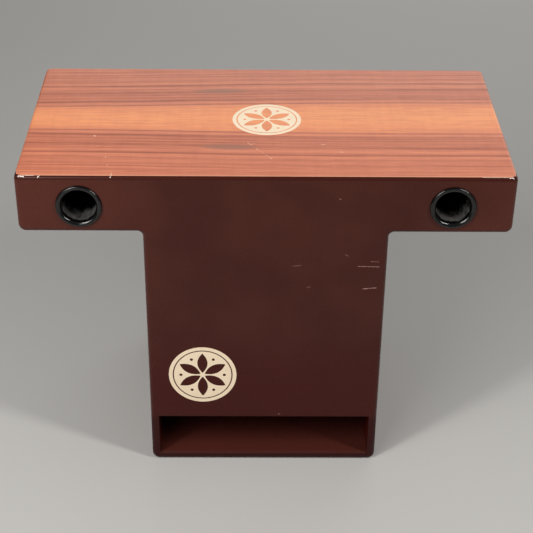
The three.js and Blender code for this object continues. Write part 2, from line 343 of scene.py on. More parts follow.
def scratches(tree, lines):
    """The strongest mark of several scratches, each given as start, end and half width in mm."""
    total = 0.0
    for start, end, width in lines:
        inputs = {"Start": Vector(start) * MM, "End": Vector(end) * MM, "Width": width * MM}
        mark = add_node(tree, "ShaderNodeGroup", inputs, node_tree=SCRATCH).outputs[0]
        total = calc(tree, "MAXIMUM", total, mark)
    return total


print("scratch group:", len(SCRATCH.nodes), "nodes")

# %% [markdown]
# ## Body paint
#
# The body is fibreboard under a satin red-brown paint. A flat colour would look like plastic, so the
# tone drifts a little over a hand's width. The wings are lighter towards their ends, the left one more:
# that is painted light. The foot is darker: that is painted shade. Round the slot the paint is darker
# and duller, and the slot's floor is lighter and greyer. The gloss is uneven,
# and a very fine orange peel breaks the reflections, as it does on any sprayed surface.

# %% Body paint
FRONT_SCRATCHES = [
    ((95, -130, 258.4), (117, -130, 257.8), 0.25),
    ((108, -130, 264.3), (116, -130, 263.9), 0.1),
    ((101, -130, 230.6), (115, -130, 232), 0.55),
    ((28, -130, 258.2), (36, -130, 259.2), 0.15),
    ((43, -130, 232.2), (47, -130, 233.2), 0.15),
    ((81.6, -130, 272.6), (84.6, -130, 270.6), 0.12),
    ((73, -130, 338), (75, -130, 337), 0.3),
    ((16, -130, 65), (17, -130, 65), 0.45),
]
PAINT = colour(62, 23, 16)
# Paler paint, used both for the random drift of tone and for the painted light on the wings.
PAINT_PALE_AND_LIT = colour(79, 36, 27)
# Painted shade: the darker tone at the foot of the body.
PAINT_SHADED_FOOT = colour(64, 13, 7)
PAINT_SLOT_EDGE = colour(46, 4, 2)
# A lighter, greyer paint for the slot's floor and the base behind it.
PAINT_SLOT_FLOOR = colour(75, 35, 29)
PAINT_MARK = colour(184, 142, 132)
PAINT_ROUGHNESS = (0.22, 0.32)
SATIN_SPECULAR = 0.25
DRIFT_SIZE = 90 * MM
DRIFT_SHARE = 0.55
# Painted light: the wings get lighter away from a point just right of the middle.
LIT_WINGS_MIDDLE = 20 * MM
LIT_WINGS_SPAN = (110 * MM, 270 * MM)
LIT_WINGS_SHARE = 0.8
FOOT_SPAN = (210 * MM, 90 * MM)
FOOT_SHARE = 0.9
SLOT_EDGE_DEPTH = (-123 * MM, -127 * MM)
SLOT_EDGE_HEIGHT = (66 * MM, 54 * MM)
SLOT_EDGE_DULLER = 0.25
SMEAR_SIZE = 25 * MM
PEEL_SIZE = 1.1 * MM
PEEL_DEPTH = 0.02 * MM


def paint_finish(name, foot_tone, edge_tone):
    """Satin paint with one tone at the foot and one on the edges round the slot."""
    finish, tree, shader = new_finish(name)
    axes = object_axes(tree)
    x, y, z = axes
    drift = noise(tree, axes, (DRIFT_SIZE,) * 3, detail=2.0)
    # Painted light: the wings are lighter towards their ends, the left one more.
    from_middle = calc(tree, "ABSOLUTE", calc(tree, "SUBTRACT", x, LIT_WINGS_MIDDLE))
    lit_wings = fade(tree, from_middle, *LIT_WINGS_SPAN, 0.0, LIT_WINGS_SHARE)
    share = calc(tree, "ADD", fade(tree, drift, 0.3, 0.7, 0.0, DRIFT_SHARE), lit_wings)
    tone = blend(tree, share, PAINT, PAINT_PALE_AND_LIT)
    # On the body paint the darker foot is painted shade; on the slot floor paint it is that floor's own
    # tone.
    tone = blend(tree, fade(tree, z, *FOOT_SPAN, 0.0, FOOT_SHARE), tone, foot_tone)
    # Round the slot, below its top edge, the front is darker and duller.
    slot_edges = calc(tree, "MULTIPLY", fade(tree, y, *SLOT_EDGE_DEPTH), fade(tree, z, *SLOT_EDGE_HEIGHT))
    tone = blend(tree, slot_edges, tone, edge_tone)
    smear = noise(tree, axes, (SMEAR_SIZE,) * 3, detail=4.0, seed=7.0)
    satin = fade(tree, smear, 0.2, 0.8, *PAINT_ROUGHNESS)
    feed(tree, shader, {
        "Base Color": blend(tree, scratches(tree, FRONT_SCRATCHES), tone, PAINT_MARK),
        "Roughness": calc(tree, "MULTIPLY_ADD", slot_edges, SLOT_EDGE_DULLER, satin),
        "Specular IOR Level": SATIN_SPECULAR,
    })
    rough_skin(tree, shader, noise(tree, axes, (PEEL_SIZE,) * 3, detail=1.0), PEEL_DEPTH)
    return finish


body_paint = paint_finish("red_brown_paint", PAINT_SHADED_FOOT, PAINT_SLOT_EDGE)
slot_floor_paint = paint_finish("slot_floor_paint", PAINT_SLOT_FLOOR, PAINT_SLOT_FLOOR)
print("paint:", len(body_paint.node_tree.nodes), "nodes")

# %% [markdown]
# ## Striped veneer
#
# The top is a book-matched veneer: two neighbouring leaves of one block are opened like a book, so the
# back half mirrors the front half about a joint line. In the middle they share a pale stripe, and
# outside it runs red wood with dark growth lines. The finish therefore folds the plate at the joint,
# measures the distance outside the stripe's edge, and reads the tone of the wood there from a ramp.
# Streaks of noise that are long with the grain and narrow across it make finer lines and fibres, a
# ripple across the grain gives the stripe its silky look, and two grey lens-shaped figures, one the
# mirror of the other, come from a stretched spot.

# %% Veneer's wood
JOINT_OFFSET = 2.7 * MM
JOINT_SLOPE = 0.008
STRIPE_NARROW = 27.5 * MM
STRIPE_WIDE = 37.5 * MM
STRIPE_WIDENS = (-260 * MM, 100 * MM)
GRAIN_BOW = 5 * MM
GRAIN_SPAN = (-40, 110)
# Millimetres outside the stripe's edge, and the wood's tone there, from 0, dark, to 1, pale.
GROWTH_TONES = [
    (-40, 1.0), (-18, 0.9), (-6, 0.78), (-2.4, 0.7), (0, 0.22), (2, 0.5), (4.7, 0.62), (7.2, 0.46),
    (9.3, 0.14), (11.5, 0.4), (20, 0.44), (27, 0.4), (31, 0.27), (35, 0.38), (42, 0.58), (46.5, 0.46),
    (49.5, 0.22), (52, 0.48), (55, 0.57), (58, 0.46), (60.5, 0.25), (63, 0.46), (70, 0.48), (72.5, 0.3),
    (75, 0.48), (84, 0.55), (87, 0.38), (90, 0.52), (108, 0.6),
]
FIGURE_FRONT = -38 * MM
FIGURE_SHIFT = -11 * MM
FIGURE_OUTSIDE = 34 * MM
FIGURE_SIZE = (33 * MM, 7 * MM)
FIGURE_GREY = colour(152, 100, 80)
WOOD_COLOURS = [
    (0.0, colour(160, 82, 57)), (0.22, colour(187, 103, 73)), (0.45, colour(203, 117, 85)),
    (0.62, colour(216, 129, 93)), (0.8, colour(231, 139, 92)), (1.0, colour(246, 157, 101)),
]


def growth_tone(tree, outside):
    """The tone of the wood at a distance outside the stripe's edge."""
    first, last = GRAIN_SPAN
    stops = [((mm - first) / (last - first), (tone, tone, tone, 1.0)) for mm, tone in GROWTH_TONES]
    return shades(tree, ruler(tree, outside, first * MM, last * MM), stops)


def square_sum(tree, *values):
    """The sum of the squares of two values."""
    return calc(tree, "ADD", *[calc(tree, "MULTIPLY", value, value) for value in values])


def veneer_wood(tree, x, y, z):
    """The veneer's colour, and two of its patterns: the slow bow of the grain and the fibres."""
    joint = calc(tree, "MULTIPLY_ADD", x, JOINT_SLOPE, JOINT_OFFSET)
    folded = calc(tree, "ABSOLUTE", calc(tree, "SUBTRACT", y, joint))
    edge = fade(tree, x, *STRIPE_WIDENS, STRIPE_NARROW, STRIPE_WIDE)
    bow = noise(tree, (x, folded, z), (190 * MM, 60 * MM, 1.0), detail=1.5)
    outside = sway(tree, calc(tree, "SUBTRACT", folded, edge), bow, GRAIN_BOW)

    broad = noise(tree, (x, outside, z), (300 * MM, 9 * MM, 1.0), detail=2.0, seed=3.0)
    lines = noise(tree, (x, outside, z), (450 * MM, 3.4 * MM, 1.0), detail=3.0, seed=17.0)
    fibre = noise(tree, (x, outside, z), (40 * MM, 0.7 * MM, 1.0), detail=3.0, seed=11.0)
    ripple = noise(tree, (x, folded, z), (7 * MM, 45 * MM, 1.0), detail=2.0, seed=29.0)
    flecks = noise(tree, (x, y, z), (26 * MM, 2.4 * MM, 1.0), detail=3.0, seed=41.0)
    in_red = fade(tree, outside, -8 * MM, 0.0, 0.3, 1.0)
    late_wood = calc(tree, "MULTIPLY", fade(tree, lines, 0.33, 0.5, 0.3, 0.0), in_red)
    tone = calc(tree, "SUBTRACT", growth_tone(tree, outside), late_wood)
    for texture, amount in ((broad, 0.3), (fibre, 0.3), (ripple, 0.16), (flecks, 0.52)):
        tone = sway(tree, tone, texture, amount)
    wood = shades(tree, tone, WOOD_COLOURS, "LINEAR")

    behind = calc(tree, "GREATER_THAN", y, joint)
    figure_x = calc(tree, "MULTIPLY_ADD", behind, FIGURE_SHIFT, FIGURE_FRONT)
    spot_x = calc(tree, "DIVIDE", calc(tree, "SUBTRACT", x, figure_x), FIGURE_SIZE[0])
    spot_y = calc(tree, "DIVIDE", calc(tree, "SUBTRACT", outside, FIGURE_OUTSIDE), FIGURE_SIZE[1])
    figure = fade(tree, sway(tree, square_sum(tree, spot_x, spot_y), lines, 2.4), 0.1, 1.2, 0.75, 0.0)
    return blend(tree, figure, wood, FIGURE_GREY), bow, fibre


print("growth lines:", len(GROWTH_TONES), "tones")

# %% [markdown]
# ## Wear, painted highlight and edges of the top
#
# The veneer's rounded edge has a painted highlight: a pale, broken line all round, and another along the
# front. The body's paint begins low on the side and back edges, but at the front it was sprayed nearly
# up to the flat. So the finish measures how far each point lies within the veneer's edge, and changes
# from wood to paint there. Scratches show on the wood alone, and chips and the painted glints on the
# front corners on the paint alone.

# %% Veneer's wear, painted highlight and edges
TOP_SCRATCHES = [
    ((-178.6, -41, 362), (-177.4, -42, 362), 1.1),
    ((-173.6, -62.5, 362), (-172.8, -65, 362), 0.2),
    ((-163, -87, 362), (-162, -90, 362), 0.25),
    ((-159.5, -104, 362), (-159, -107, 362), 0.15),
    ((-154, -122, 362), (-153, -128, 362), 0.4),
    ((-18.8, -55.5, 362), (-15.6, -59.6, 362), 0.4),
    ((-15.6, -59.6, 362), (-12, -57.5, 362), 0.3),
    ((-10.4, -68, 362), (-8.4, -71, 362), 0.35),
    ((-8.4, -71, 362), (4.4, -89, 362), 0.03),
    ((-0.4, -82.6, 362), (0.8, -84.2, 362), 0.3),
    ((4.4, -89.2, 362), (5.8, -90.4, 362), 0.7),
    ((57, -58.5, 362), (62, -59, 362), 0.5),
    ((75, -75, 362), (79, -75.8, 362), 0.45),
]
EDGE_CHIPS_AND_GLINTS = [
    ((-226, -129.5, 360.3), (-224.5, -128, 361.7), 0.6),
    ((-154.4, -129.3, 360.8), (-153.8, -127.4, 361.8), 0.7),
    # Painted glints: the left front corner, and a thin pale streak that runs on from it.
    ((-245.4, -128.3, 361.2), (-240, -128.8, 361.2), 0.9),
    ((-241, -127.9, 361.8), (-230, -127.9, 361.8), 0.12),
    # A painted glint on the right front corner.
    ((241.3, -128.5, 361.5), (244.8, -128.2, 361.5), 0.8),
    # Small chips along the right of the front edge.
    ((214, -127.9, 361.8), (240, -127.9, 361.8), 0.1),
]
# Pale colour of the scratches on the wood and of the painted highlight along its edge.
SCRATCH_AND_HIGHLIGHT_PALE = colour(244, 200, 170)
CHIP_AND_GLINT_PALE = colour(254, 244, 236)
FRONT_VENEER = 0.15 * MM
SIDE_VENEER = 1.4 * MM
PAINT_CLIMBS = (-125 * MM, -112 * MM)
VENEER_CORNER = 9 * MM
VENEER_EDGE = (249.4 * MM, -127.7 * MM)
VENEER_FADE = (-0.04 * MM, 0.04 * MM)
VENEER_ROUGHNESS = (0.42, 0.3)
EDGE_GLOSSIER = 0.5
FIBRE_DEPTH = 0.03 * MM
# Painted highlight along the veneer's edge: its width at the front, and its strength.
FRONT_HIGHLIGHT = 1.6 * MM
HIGHLIGHT_SHARE = 0.6

plate_low, plate_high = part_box("playing_top")


def bare_share(tree, x, y, above):
    """1 on the bare veneer and 0 on the paint, from how far a point lies above the paint's edge."""
    past_x = calc(tree, "SUBTRACT", calc(tree, "ABSOLUTE", x), VENEER_EDGE[0] - VENEER_CORNER)
    past_y = calc(tree, "SUBTRACT", VENEER_EDGE[1] + VENEER_CORNER, y)
    past = [calc(tree, "MAXIMUM", value, 0.0) for value in (past_x, past_y)]
    corner = calc(tree, "SQRT", square_sum(tree, *past))
    within = calc(tree, "MINIMUM", above, calc(tree, "SUBTRACT", VENEER_CORNER, corner))
    return fade(tree, within, *VENEER_FADE)


def veneer_finish():
    """The striped veneer with its scratches, a painted highlight along its edge, and the paint round it.
    """
    finish, tree, shader = new_finish("striped_veneer")
    x, y, z = object_axes(tree)
    wood, bow, fibre = veneer_wood(tree, x, y, z)
    depth = fade(tree, y, *PAINT_CLIMBS, FRONT_VENEER, SIDE_VENEER)
    above = calc(tree, "ADD", calc(tree, "SUBTRACT", z, plate_high.z), depth)
    # Painted highlight: a pale line on the rounded edge, broken up by noise, and another along the front.
    rim = fade(tree, calc(tree, "DIVIDE", above, depth), 0.1, 0.95, HIGHLIGHT_SHARE, 0.0)
    edge_highlight = calc(tree, "MULTIPLY", rim, fade(tree, bow, 0.35, 0.65))
    front_highlight = fade(tree, y, VENEER_EDGE[1], VENEER_EDGE[1] + FRONT_HIGHLIGHT, HIGHLIGHT_SHARE, 0.0)
    edge_highlight = calc(tree, "MAXIMUM", edge_highlight, front_highlight)
    highlight_and_scratches = calc(tree, "MAXIMUM", edge_highlight, scratches(tree, TOP_SCRATCHES))
    wood = blend(tree, highlight_and_scratches, wood, SCRATCH_AND_HIGHLIGHT_PALE)
    # Real chips and painted glints, on the paint of the edge.
    painted = blend(tree, scratches(tree, EDGE_CHIPS_AND_GLINTS), PAINT, CHIP_AND_GLINT_PALE)
    bare = bare_share(tree, x, y, above)
    satin = fade(tree, fibre, 0.2, 0.8, *VENEER_ROUGHNESS)
    feed(tree, shader, {
        "Base Color": blend(tree, bare, painted, wood),
        "Roughness": calc(tree, "MULTIPLY", satin, fade(tree, bare, 0.0, 1.0, EDGE_GLOSSIER)),
        "Specular IOR Level": SATIN_SPECULAR,
    })
    rough_skin(tree, shader, calc(tree, "MULTIPLY", fibre, bare), FIBRE_DEPTH)
    return finish


striped_veneer = veneer_finish()
print("veneer:", len(striped_veneer.node_tree.nodes), "nodes")

# %% [markdown]
# ## Bare softwood
#
# The linings, battens and snare rails inside are planed and left bare, and so is the underside of the
# plate. Their boxes from the CAD model are already the right shape, so they only get a finish. Each
# strip is sawn along the grain, hence one finish for each direction: growth bands and fibres are noise
# that is drawn out along that axis.

# %% Bare softwood
SOFTWOOD_PALE = colour(216, 186, 138)
SOFTWOOD_DARK = colour(184, 145, 96)
SOFTWOOD_BANDS = (220 * MM, 3.5 * MM)
SOFTWOOD_FIBRES = (30 * MM, 0.5 * MM)
STRIPS = {
    "X": ["front_lining", "back_lining"],
    "Y": ["left_lining", "right_lining", "left_snare_rail", "right_snare_rail"],
    "Z": ["front_left_batten", "front_right_batten", "back_left_batten", "back_right_batten"],
}


def softwood_finish(axis):
    """Bare wood whose grain runs along an axis."""
    finish, tree, shader = new_finish(f"softwood_along_{axis.lower()}")
    axes = object_axes(tree)

    def grain_noise(sizes, detail, seed):
        along, across = sizes
        return noise(tree, axes, [along if letter == axis else across for letter in "XYZ"], detail, seed)

    bands = grain_noise(SOFTWOOD_BANDS, 2.0, 0.0)
    fibre = grain_noise(SOFTWOOD_FIBRES, 3.0, 5.0)
    share = fade(tree, sway(tree, bands, fibre, 0.3), 0.38, 0.66)
    feed(tree, shader, {"Base Color": blend(tree, share, SOFTWOOD_PALE, SOFTWOOD_DARK), "Roughness": 0.7})
    rough_skin(tree, shader, fibre, 0.06 * MM)
    return finish


softwood = {axis: softwood_finish(axis) for axis in STRIPS}
for axis, nodes in STRIPS.items():
    for node in nodes:
        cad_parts[node].material_slots[0].material = softwood[axis]
print("softwood strips:", sum(len(nodes) for nodes in STRIPS.values()))

# %% [markdown]
# ## Boards as lofted rings
#
# A router runs round the panels with a round-over bit, and the same shape comes from a stack of rings:
# each ring is the panel's outline drawn in a little further and set a little further out, along a
# quarter circle. A loft then skins the rings. The outline is drawn by formula with its own arcs, so the
# convex corners tighten and the coves widen exactly as they do under a router.

# %% Rings and lofts
ARC_STEPS = 10
MERGE_DISTANCE = 1e-7


def arc(centre, radius, start, end):
    """Points on a circle in a plane, from one angle in degrees to another."""
    angles = [math.radians(start + (end - start) * step / ARC_STEPS) for step in range(ARC_STEPS + 1)]
    return [(centre[0] + radius * math.cos(a), centre[1] + radius * math.sin(a)) for a in angles]


def circle(centre, radius):
    """A full circle of points in a plane."""
    return [point for start in (0, 90, 180, 270) for point in arc(centre, radius, start, start + 90)[:-1]]


def make_piece(name, points, faces, finish):
    """A mesh object at the origin, with doubles merged and its faces turned outwards."""
    mesh = bpy.data.meshes.new(name)
    mesh.from_pydata(points, [], faces)
    mesh.materials.append(finish)
    shell = bmesh.new()
    shell.from_mesh(mesh)
    bmesh.ops.remove_doubles(shell, verts=shell.verts, dist=MERGE_DISTANCE)
    bmesh.ops.recalc_face_normals(shell, faces=shell.faces)
    shell.to_mesh(mesh)
    shell.free()
    return add_object(name, mesh)


def loft(name, rings, finish):
    """Skin a closed solid over rings of points: walls between neighbours, and a cap on each end."""
    count = len(rings[0])
    points = [point for ring in rings for point in ring]
    faces = [range(count), range(len(points) - count, len(points))]
    for start in range(0, len(points) - count, count):
        for step in range(count):
            beside = (step + 1) % count
            faces.append((start + step, start + beside, start + count + beside, start + count + step))
    return make_piece(name, points, faces, finish)


print("steps in a quarter circle:", ARC_STEPS)

# %% [markdown]
# ## From a shape to a piece
#
# A lofted shape is then worked on: other shapes are cut out of it, faces on one side may get a second
# finish, and smooth shading makes its roundings look round. These steps use modifiers, and each is baked
# at once, so that every piece ends as a plain mesh. Last, the piece is installed on the drum's one body.

# %% Working on a piece
SHARP_ANGLE = math.radians(35)
FACING = 0.9


def bake_modifiers(piece):
    """Swap a piece's modifiers for the plain mesh that they make."""
    depsgraph = bpy.context.evaluated_depsgraph_get()
    mesh = bpy.data.meshes.new_from_object(piece.evaluated_get(depsgraph), depsgraph=depsgraph)
    piece.modifiers.clear()
    piece.data = mesh


def cut(piece, cutters):
    """Cut shapes out of a piece, and delete the shapes."""
    for cutter in cutters:
        modifier = piece.modifiers.new("cut", "BOOLEAN")
        modifier.solver = "EXACT"
        modifier.object = cutter
    bake_modifiers(piece)
    for cutter in cutters:
        bpy.data.objects.remove(cutter)


def repaint(piece, finish, chosen):
    """Give a second finish to the faces that a test chooses."""
    piece.data.materials.append(finish)
    for face in piece.data.polygons:
        face.material_index = int(chosen(face))


def soften(piece):
    """Smooth shading that keeps flat faces flat and sharp corners sharp."""
    piece.data.shade_smooth()
    piece.data.set_sharp_from_angle(angle=SHARP_ANGLE)
    piece.modifiers.new("normals", "WEIGHTED_NORMAL").keep_sharp = True
    bake_modifiers(piece)


def install(piece, slot, *nodes):
    """Let a piece ride on the drum's one body, and stand for its CAD nodes if it has any."""
    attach(piece, "root")
    if nodes:
        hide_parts(*nodes)
    print(piece.name, "-", len(piece.data.polygons), "faces")


print("corners stay sharp over", round(math.degrees(SHARP_ANGLE)), "degrees")

# %% [markdown]
# ## The two T panels
#
# Front and back are the same T. Only the sides and lower edges are rounded: the upper edge stays square
# because the playing plate is glued on it. The T is symmetric, so its right half is drawn and mirrored.

# %% T panels
EDGE_ROUND = 5 * MM
CORNER_ROUND = 7.8 * MM
COVE_ROUND = 6 * MM
ROUNDOVER_STEPS = 8

half_depth = plate_high.y
half_width = plate_high.x
body_top = plate_low.z
panel_inside = -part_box("front_panel")[1].y
wing_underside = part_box("right_wing_floor")[0].z
floor_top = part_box("bottom_panel")[1].z
stem_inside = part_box("right_stem_side")[0].x
stem_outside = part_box("right_stem_side")[1].x


def mirrored(outline):
    """An outline in (x, z) on the other side of the drum."""
    return [(-x, z) for x, z in reversed(outline)]


def t_outline(inset):
    """The T in (x, z), drawn in by an inset everywhere but along its upper edge."""
    right = [(half_width - inset, body_top)]
    wing_corner = (half_width - CORNER_ROUND, wing_underside + CORNER_ROUND)
    cove = (stem_outside + COVE_ROUND, wing_underside - COVE_ROUND)
    foot_corner = (stem_outside - CORNER_ROUND, CORNER_ROUND)
    right += arc(wing_corner, CORNER_ROUND - inset, 0, -90)
    right += arc(cove, COVE_ROUND + inset, 90, 180)
    right += arc(foot_corner, CORNER_ROUND - inset, 0, -90)
    return right + mirrored(right)


def quarter_round(radius):
    """How far in and how far out each ring of a rounded edge lies."""
    angles = [math.pi / 2 * step / ROUNDOVER_STEPS for step in range(ROUNDOVER_STEPS + 1)]
    return [(radius * (1 - math.cos(a)), radius * math.sin(a)) for a in angles]


def t_panel(name, side):
    """A panel whose outer face looks along side times Y."""
    levels = [(0.0, panel_inside)]
    levels += [(inset, half_depth - EDGE_ROUND + out) for inset, out in quarter_round(EDGE_ROUND)]
    rings = [[(x, side * y, z) for x, z in t_outline(inset)] for inset, y in levels]
    return loft(name, rings, body_paint)


front_board = t_panel("front_board", -1)
print("front board before its cuts:", len(front_board.data.polygons), "faces")

# %% [markdown]
# ## Slot and port holes
#
# The front panel is cut as in a workshop: the slot with a cutter that flares at its mouth, which eases
# the slot's edge, and two round holes for the tubes. Boolean modifiers do the cutting. The slot's own
# floor gets the same lighter, greyer paint as the base behind it.

# %% Panels with their cuts
SLOT_HEIGHT = 52 * MM
SLOT_EASE = 1 * MM
CUT_REACH = 3 * MM
PORT_HOLE = 21 * MM


def slot_cutter():
    """The bass slot, flared at the panel's face."""
    levels = [(0.0, panel_inside - CUT_REACH)]
    levels += [(flare, half_depth - SLOT_EASE + out) for flare, out in quarter_round(SLOT_EASE)]
    levels += [(SLOT_EASE, half_depth + CUT_REACH)]
    rings = []
    for flare, y in levels:
        reach, low, high = stem_inside + flare, floor_top - flare, floor_top + SLOT_HEIGHT + flare
        rings.append([(-reach, -y, low), (reach, -y, low), (reach, -y, high), (-reach, -y, high)])
    return loft("slot_cutter", rings, body_paint)


def port_centre(side):
    """The axis of a port tube in (x, z)."""
    low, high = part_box(f"{side}_port_tube")
    return ((low.x + high.x) / 2, (low.z + high.z) / 2)


def port_cutter(side):
    """The round hole for a port tube."""
    ends = (panel_inside - CUT_REACH, half_depth + CUT_REACH)
    rings = [[(x, -y, z) for x, z in circle(port_centre(side), PORT_HOLE)] for y in ends]
    return loft("port_cutter", rings, body_paint)


cut(front_board, [slot_cutter(), *[port_cutter(side) for side in SIDES]])
repaint(front_board, slot_floor_paint, lambda face: face.normal.z > FACING and face.center.z < 2 * floor_top)
soften(front_board)
install(front_board, "body_paint", "front_panel")
back_board = t_panel("back_board", 1)
soften(back_board)
install(back_board, "body_paint", "back_panel")

# %% [markdown]
# ## The boards between the panels
#
# The boards run from panel to panel, and under paint no joint shows, so each one is drawn out by the
# glue line until it touches its neighbours. The wing ends and stem sides have their lower outer edge
# rounded to meet the panels' corners.

# %% Boards
def run_between_panels(name, outline, node, finish):
    """A board whose section in (x, z) runs from panel to panel."""
    rings = [[(x, y, z) for x, z in outline] for y in (-panel_inside, panel_inside)]
    board = loft(name, rings, finish)
    soften(board)
    install(board, "body_paint", node)


def rounded_foot(inside, outside, low, high):
    """The section of an upright board on the right, with its lower outer edge rounded."""
    corner = arc((outside - CORNER_ROUND, low + CORNER_ROUND), CORNER_ROUND, -90, 0)
    return [(inside, low), *corner, (outside, high), (inside, high)]


def flat_board(low_x, high_x, low_z, high_z):
    """The section of a lying board."""
    return [(low_x, low_z), (high_x, low_z), (high_x, high_z), (low_x, high_z)]


wing_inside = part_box("right_wing_end")[0].x
wing_floor_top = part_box("right_wing_floor")[1].z
right_boards = {
    "wing_end": rounded_foot(wing_inside, half_width, wing_underside, body_top),
    "stem_side": rounded_foot(stem_inside, stem_outside, 0.0, wing_floor_top),
    "wing_floor": flat_board(stem_outside, wing_inside, wing_underside, wing_floor_top),
}
for part, outline in right_boards.items():
    run_between_panels(f"right_{part}_board", outline, f"right_{part}", body_paint)
    run_between_panels(f"left_{part}_board", mirrored(outline), f"left_{part}", body_paint)
base = flat_board(-stem_inside, stem_inside, 0.0, floor_top)
run_between_panels("bottom_board", base, "bottom_panel", slot_floor_paint)

# %% [markdown]
# ## The playing plate
#
# The plate is a rounded rectangle, lofted like the panels. The veneer's finish knows by itself where
# the paint begins on the rounded edge. The underside, against which the snares lie, is bare.

# %% Playing plate
PLATE_ROUND = 3.3 * MM
PLATE_CORNER = 7 * MM


def plate_outline(inset):
    """The plate in (x, y), with rounded corners, drawn in by an inset."""
    x, y, radius = half_width - PLATE_CORNER, half_depth - PLATE_CORNER, PLATE_CORNER - inset
    corners = [((x, y), 0), ((-x, y), 90), ((-x, -y), 180), ((x, -y), 270)]
    return [point for centre, start in corners for point in arc(centre, radius, start, start + 90)]


levels = [(0.0, body_top)]
levels += [(inset, plate_high.z - PLATE_ROUND + up) for inset, up in quarter_round(PLATE_ROUND)]
plate_rings = [[(x, y, z) for x, y in plate_outline(inset)] for inset, z in levels]
plate = loft("playing_plate", plate_rings, striped_veneer)
repaint(plate, softwood["X"], lambda face: face.normal.z < -FACING)
soften(plate)
install(plate, "veneer", "playing_top")

# %% [markdown]
# ## Port tubes
#
# Each wing breathes through a moulded tube with a flange that covers the edge of its hole. A tube is a
# closed profile turned round an axis: along the outside, round the flange's rim, over its flat face, down
# the flared mouth and back along the bore. Gloss black plastic shows little but its highlights, so the
# rounded parts need enough rings to keep them unbroken. Low inside, near the mouth, lie pale patches:
# dust, and in part painted light where the lamps light the lower inner wall.

# %% Port plastic
FLARE_WIDTH = 3.5 * MM
FLARE_DEPTH = 4.5 * MM
PLASTIC = colour(5, 5, 6)
# Pale dust inside the mouth, and in part painted light on the lower inner wall.
PLASTIC_DUST_AND_LIGHT = colour(74, 72, 71)
PLASTIC_ROUGHNESS = (0.14, 0.5)
PLASTIC_SPECULAR = 0.5
LIT_DUST_LEVELS = (6 * MM, -8 * MM)
LIT_DUST_START = 45 * MM


def plastic_finish():
    """Gloss black plastic, pale in patches low inside the mouth: dusty, and in part painted light."""
    finish, tree, shader = new_finish("gloss_black_plastic")
    x, y, z = object_axes(tree)
    patches = noise(tree, (x, y, z), (5 * MM, 14 * MM, 5 * MM), detail=5.0)
    mouth = fade(tree, y, LIT_DUST_START - half_depth, FLARE_DEPTH - half_depth)
    within = calc(tree, "MULTIPLY", mouth, fade(tree, y, -half_depth, FLARE_DEPTH - half_depth))
    axis_height = port_centre("left")[1]
    # Dust and painted light: paler low inside the mouth, where the lamps light the lower inner wall.
    low = fade(tree, z, *[axis_height + level for level in LIT_DUST_LEVELS])
    settled_and_lit = calc(tree, "MULTIPLY", within, low)
    dust_and_light = calc(tree, "ADD", patches, calc(tree, "MULTIPLY_ADD", settled_and_lit, 0.5, -0.25))
    feed(tree, shader, {
        "Base Color": blend(tree, fade(tree, dust_and_light, 0.4, 0.8), PLASTIC, PLASTIC_DUST_AND_LIGHT),
        "Roughness": fade(tree, dust_and_light, 0.45, 0.8, *PLASTIC_ROUGHNESS),
        "Specular IOR Level": PLASTIC_SPECULAR,
    })
    rough_skin(tree, shader, noise(tree, (x, y, z), (2 * MM,) * 3, detail=2.0), 0.01 * MM)
    return finish


black_plastic = plastic_finish()
print("plastic:", len(black_plastic.node_tree.nodes), "nodes")

# %% Port tubes
TURN_STEPS = 96
PORT_BORE = 17.5 * MM
PORT_TUBE = 20.5 * MM
FLANGE_CROWN = 1.5 * MM


def revolve(name, profile, place, finish, steps):
    """Turn a closed profile of (radius, height) about the Z axis of a place."""
    count = len(profile)
    points = []
    faces = []
    for turn in range(steps):
        angle = 2 * math.pi * turn / steps
        around = (turn + 1) % steps
        for step, (radius, height) in enumerate(profile):
            points.append(place @ Vector((radius * math.cos(angle), radius * math.sin(angle), height)))
            beside = (step + 1) % count
            here, next_turn = turn * count, around * count
            faces.append([here + step, here + beside, next_turn + beside, next_turn + step])
    return make_piece(name, points, faces, finish)


def ellipse(centre, radii, start, end):
    """Points on an ellipse, from one angle in degrees to another."""
    unit_arc = arc((0.0, 0.0), 1.0, start, end)
    return [(centre[0] + x * radii[0], centre[1] + y * radii[1]) for x, y in unit_arc]


def port_tube(side):
    """A tube that seats in its hole, with its flange on the front panel."""
    low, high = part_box(f"{side}_port_tube")
    x, z = port_centre(side)
    flange = (high.x - low.x) / 2
    bead = -half_depth - low.y
    inner_end = -half_depth - high.y
    crown = flange - FLANGE_CROWN
    profile = [(PORT_BORE, inner_end), (PORT_TUBE, inner_end), (PORT_TUBE, 0.0)]
    profile += ellipse((crown, 0.0), (FLANGE_CROWN, bead), 0, 90)
    profile += ellipse((PORT_BORE + FLARE_WIDTH, bead - FLARE_DEPTH), (FLARE_WIDTH, FLARE_DEPTH), 90, 180)
    facing = Matrix.Translation((x, -half_depth, z)) @ Matrix.Rotation(math.pi / 2, 4, "X")
    tube = revolve(f"{side}_port", profile, facing, black_plastic, TURN_STEPS)
    soften(tube)
    install(tube, "port_plastic", f"{side}_port_tube")


for side in SIDES:
    port_tube(side)

# %% [markdown]
# ## Helpers for Geometry Nodes
#
# Petals round a centre, wires side by side and eight equal screws all repeat, and what repeats is a job
# for Geometry Nodes. Each tree has its sizes as named inputs. It ends by making its copies real and
# giving them their material, and the plain mesh that it makes is kept in place of the modifier.

# %% Geometry helpers
def new_tree(name, sockets):
    """A Geometry Nodes tree with a mesh in, a mesh out and named inputs."""
    tree = bpy.data.node_groups.new(name, "GeometryNodeTree")
    tree.interface.new_socket("Geometry", in_out="INPUT", socket_type="NodeSocketGeometry")
    for socket, kind in sockets.items():
        tree.interface.new_socket(socket, in_out="INPUT", socket_type=f"NodeSocket{kind}")
    tree.interface.new_socket("Geometry", in_out="OUTPUT", socket_type="NodeSocketGeometry")
    return tree, add_node(tree, "NodeGroupInput").outputs


